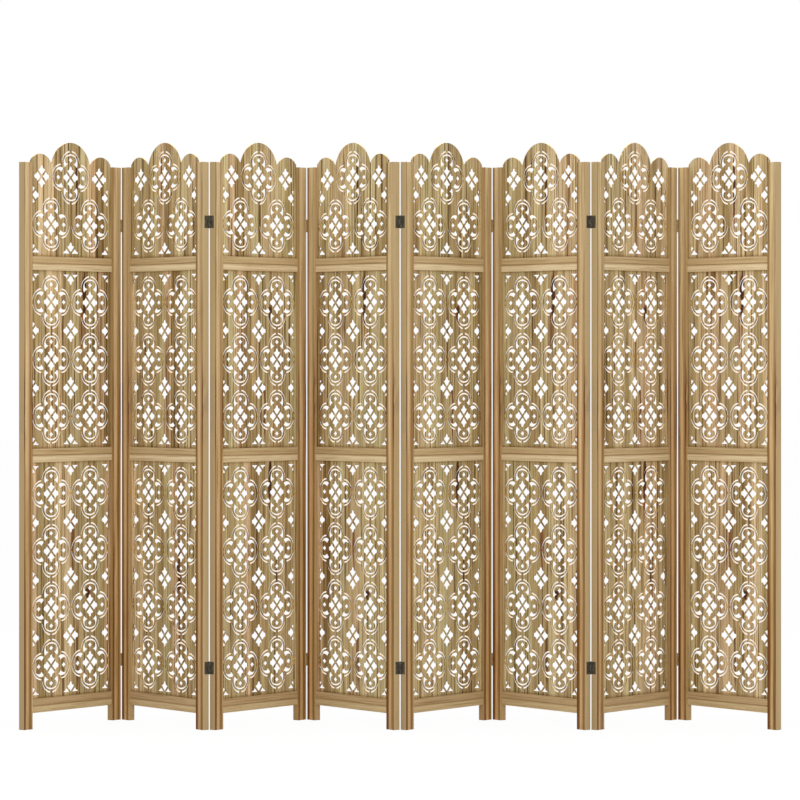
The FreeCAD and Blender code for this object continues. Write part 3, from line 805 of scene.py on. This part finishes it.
@dataclass
class Panel:
    """One panel of the screen: its pieces and how they are dressed; lengths in metres.

    Each piece's seed makes its grain unlike that of the others.
    """

    number: int
    rail_height: float = RAIL_HEIGHT
    half_opening: float = 0.165
    band_shift: float = 0.0045
    rails_seed: float = 30.0
    boards_seed: float = 50.0

    SIDES: ClassVar[tuple[str, ...]] = ("left", "right")
    BOARDS: ClassVar[tuple[str, ...]] = ("bottom_board", "middle_board", "top_board")

    @property
    def name(self) -> str:
        """The name that the panel's nodes start with."""
        return f"panel_{self.number}"

    @property
    def runs_back(self) -> bool:
        """Whether the panel runs from the front on its left to the rear on its right."""
        return self.number % 2 == 1

    def corners(self, piece: str) -> tuple[Vector, Vector]:
        """The lowest and highest corners of one of the panel's pieces."""
        low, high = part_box(f"{self.name}_{piece}")
        return Vector(low), Vector(high)

    def middle(self, piece: str) -> Vector:
        """The middle of one of the panel's pieces."""
        low, high = self.corners(piece)
        return (low + high) / 2

    @property
    def turn(self) -> float:
        """The panel's turn about the upright axis, from its left stile to its right."""
        span = self.middle("right_stile") - self.middle("left_stile")
        return math.atan2(span.y, span.x)

    def rail_centres(self) -> list[float]:
        """Find the heights of the three rails' middle lines.

        Returns:
            The heights, from the bottom rail up.
        """
        low, high = self.corners("rails")
        between = (self.corners("bottom_board")[1].z + self.corners("middle_board")[0].z) / 2
        return [low.z + self.rail_height / 2, between, high.z - self.rail_height / 2]

    def dress_stiles(self) -> None:
        """Give both uprights their lengthwise bands."""
        for index, side in enumerate(self.SIDES):
            piece = f"{side}_stile"
            at_rear = (side == "right") == self.runs_back
            lie = Lie(self.middle(piece), self.turn, seed=len(self.SIDES) * self.number + index,
                      band_shift=0.0 if self.runs_back else self.band_shift)
            # Stiles at the rear folds get the copy with painted light and shade.
            sheet = WoodSheet(f"{self.name}_{piece}_wood", REAR_STILE_PAINTED_LIGHT_AND_SHADE if at_rear else FRONT_STILE, lie)
            sheet.lay_bands(sheet.across)
            sheet.lay_streaks()
            for mark in STILE_MARKS:
                sheet.lay_mark(mark)
            sheet.plain_edges()
            paint(f"{self.name}_{piece}", sheet.finish_surface())

    def dress_rails(self) -> None:
        """Give the three rails the same bands about each rail's own middle line."""
        lie = Lie(self.middle("rails"), self.turn, seed=self.rails_seed + self.number)
        sheet = WoodSheet(f"{self.name}_rails_wood", RAIL, lie)
        centres = self.rail_centres()
        across = sheet.number("SUBTRACT", sheet.across, centres[0])
        for lower, upper in zip(centres, centres[1:]):
            past = sheet.number("GREATER_THAN", sheet.height, (lower + upper) / 2)
            across = sheet.number("SUBTRACT", across, sheet.number("MULTIPLY", past, upper - lower))
        sheet.lay_bands(across)
        sheet.lay_streaks()
        sheet.plain_edges()
        paint(f"{self.name}_rails", sheet.finish_surface())

    def dress_boards(self) -> None:
        """Give the pierced boards their upright planks and dark marks."""
        centres = self.rail_centres()
        half_rail = self.rail_height / 2
        ceilings = centres[1:] + [self.corners("top_board")[1].z + self.rail_height]
        middle = self.middle("rails")
        for index, piece in enumerate(self.BOARDS):
            seed = self.boards_seed + len(self.BOARDS) * self.number + index
            sheet = WoodSheet(f"{self.name}_{piece}_wood", BOARD, Lie(middle, self.turn, seed))
            sheet.lay_planks()
            sheet.lay_streaks()
            low, high = centres[index] + half_rail, ceilings[index] - half_rail
            for mark in FIGURES[self.number - 1].value:
                if low < mark.z < high:
                    sheet.lay_mark(mark)
            # Painted shade where the board meets the frame, then painted shade and highlight on its cut
            # walls.
            sheet.paint_shade_by_frame(self.half_opening, low, high)
            sheet.paint_light_and_shade_on_cut_walls()
            paint(f"{self.name}_{piece}", sheet.finish_surface())

    def dress(self, metal: bpy.types.Material) -> None:
        """Dress every piece of the panel.

        Args:
            metal: The hinges' finish, shared by all panels.
        """
        self.dress_stiles()
        self.dress_rails()
        self.dress_boards()
        paint(f"{self.name}_hinges", metal)


@dataclass(frozen=True)
class Lamp:
    """A square soft lamp; lengths in metres and power in watts."""

    name: str
    place: Triple
    power: float
    side: float


@dataclass
class Studio:
    """The floor, lights, background and camera; lengths are in metres."""

    camera_place: Triple = (-0.0645, -10.495, 1.020)
    lens_mm: float = 166.5
    sensor_mm: float = 36.0
    shift: tuple[float, float] = (0.0287, -0.0438)
    sight: float = 200.0
    background_level: float = 1.0
    fill_level: float = 0.80
    floor_size: float = 80.0
    floor_tone: Colour = (0.86, 0.86, 0.86)
    floor_roughness: float = 0.9
    floor_glow: float = 0.95
    lamp_target: Triple = (0.0, 0.0, 0.8)
    lamps: tuple[Lamp, ...] = (
        Lamp("overhead_lamp", (0.0, 0.0, 5.0), 150.0, 4.0),
        Lamp("front_lamp", (0.0, -6.5, 3.5), 130.0, 3.0),
    )

    def set_camera(self) -> None:
        """Place the camera level, at the photograph's distance and height."""
        bpy.ops.object.camera_add(location=self.camera_place, rotation=(math.pi / 2, 0.0, 0.0))
        camera = bpy.context.object
        camera.data.sensor_width = self.sensor_mm
        camera.data.lens = self.lens_mm
        camera.data.shift_x, camera.data.shift_y = self.shift
        camera.data.clip_end = self.sight
        bpy.context.scene.camera = camera

    def seen_directly(self, tree: bpy.types.NodeTree) -> Socket:
        """One where a camera, glossy or transmission ray looks, else zero.

        Args:
            tree: The node tree to add to.

        Returns:
            The value output.
        """
        path = tree.nodes.new("ShaderNodeLightPath")
        total = path.outputs["Is Camera Ray"]
        for ray in ("Is Glossy Ray", "Is Transmission Ray"):
            either = tree.nodes.new("ShaderNodeMath")
            either.operation = "MAXIMUM"
            tree.links.new(total, either.inputs[0])
            tree.links.new(path.outputs[ray], either.inputs[1])
            total = either.outputs["Value"]
        return total

    def set_world(self) -> None:
        """Set a white background over a plainer white fill light."""
        world = bpy.data.worlds.new("studio_white")
        world.use_nodes = True
        bpy.context.scene.world = world
        tree = world.node_tree
        background = tree.nodes["Background"]
        background.inputs["Color"].default_value = (1.0, 1.0, 1.0, 1.0)
        level = tree.nodes.new("ShaderNodeMapRange")
        level.inputs["To Min"].default_value = self.fill_level
        level.inputs["To Max"].default_value = self.background_level
        tree.links.new(self.seen_directly(tree), level.inputs["Value"])
        tree.links.new(level.outputs["Result"], background.inputs["Strength"])

    def make_floor(self) -> None:
        """Lay a wide white floor that glows where it is seen and keeps a faint shadow."""
        bpy.ops.object.select_all(action="DESELECT")
        bpy.ops.mesh.primitive_plane_add(size=self.floor_size)
        floor = bpy.context.object
        floor.name = "studio_floor"
        sheet = ShaderSheet("studio_floor_white")
        sheet.feed(sheet.shader.inputs["Base Color"], self.floor_tone)
        sheet.feed(sheet.shader.inputs["Roughness"], self.floor_roughness)
        glow = sheet.add("ShaderNodeEmission")
        mixer = sheet.add("ShaderNodeMixShader")
        share = sheet.number("MULTIPLY", self.seen_directly(sheet.tree), self.floor_glow)
        surface = sheet.tree.nodes["Material Output"].inputs["Surface"]
        sheet.feed(mixer.inputs[0], share)
        sheet.tree.links.new(sheet.shader.outputs[0], mixer.inputs[1])
        sheet.tree.links.new(glow.outputs[0], mixer.inputs[2])
        sheet.tree.links.new(mixer.outputs[0], surface)
        floor.data.materials.append(sheet.material)

    def hang(self, lamp: Lamp) -> None:
        """Hang a lamp so that it faces the screen's middle.

        Args:
            lamp: The lamp.
        """
        bpy.ops.object.light_add(type="AREA", location=lamp.place)
        light = bpy.context.object
        light.name = lamp.name
        light.data.energy = lamp.power
        light.data.size = lamp.side
        aim = Vector(self.lamp_target) - Vector(lamp.place)
        light.rotation_euler = aim.to_track_quat("-Z", "Y").to_euler()

    def build(self) -> None:
        """Set up the whole studio."""
        bpy.context.scene.view_settings.view_transform = "Standard"
        self.set_camera()
        self.set_world()
        self.make_floor()
        for lamp in self.lamps:
            self.hang(lamp)


def main() -> None:
    """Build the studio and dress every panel."""
    logging.basicConfig(level=logging.INFO)
    Studio().build()
    metal = hinge_material(HingeFinish())
    for number in range(1, len(frame["bodies"]) + 1):
        Panel(number).dress(metal)


if __name__ == "__main__":
    main()
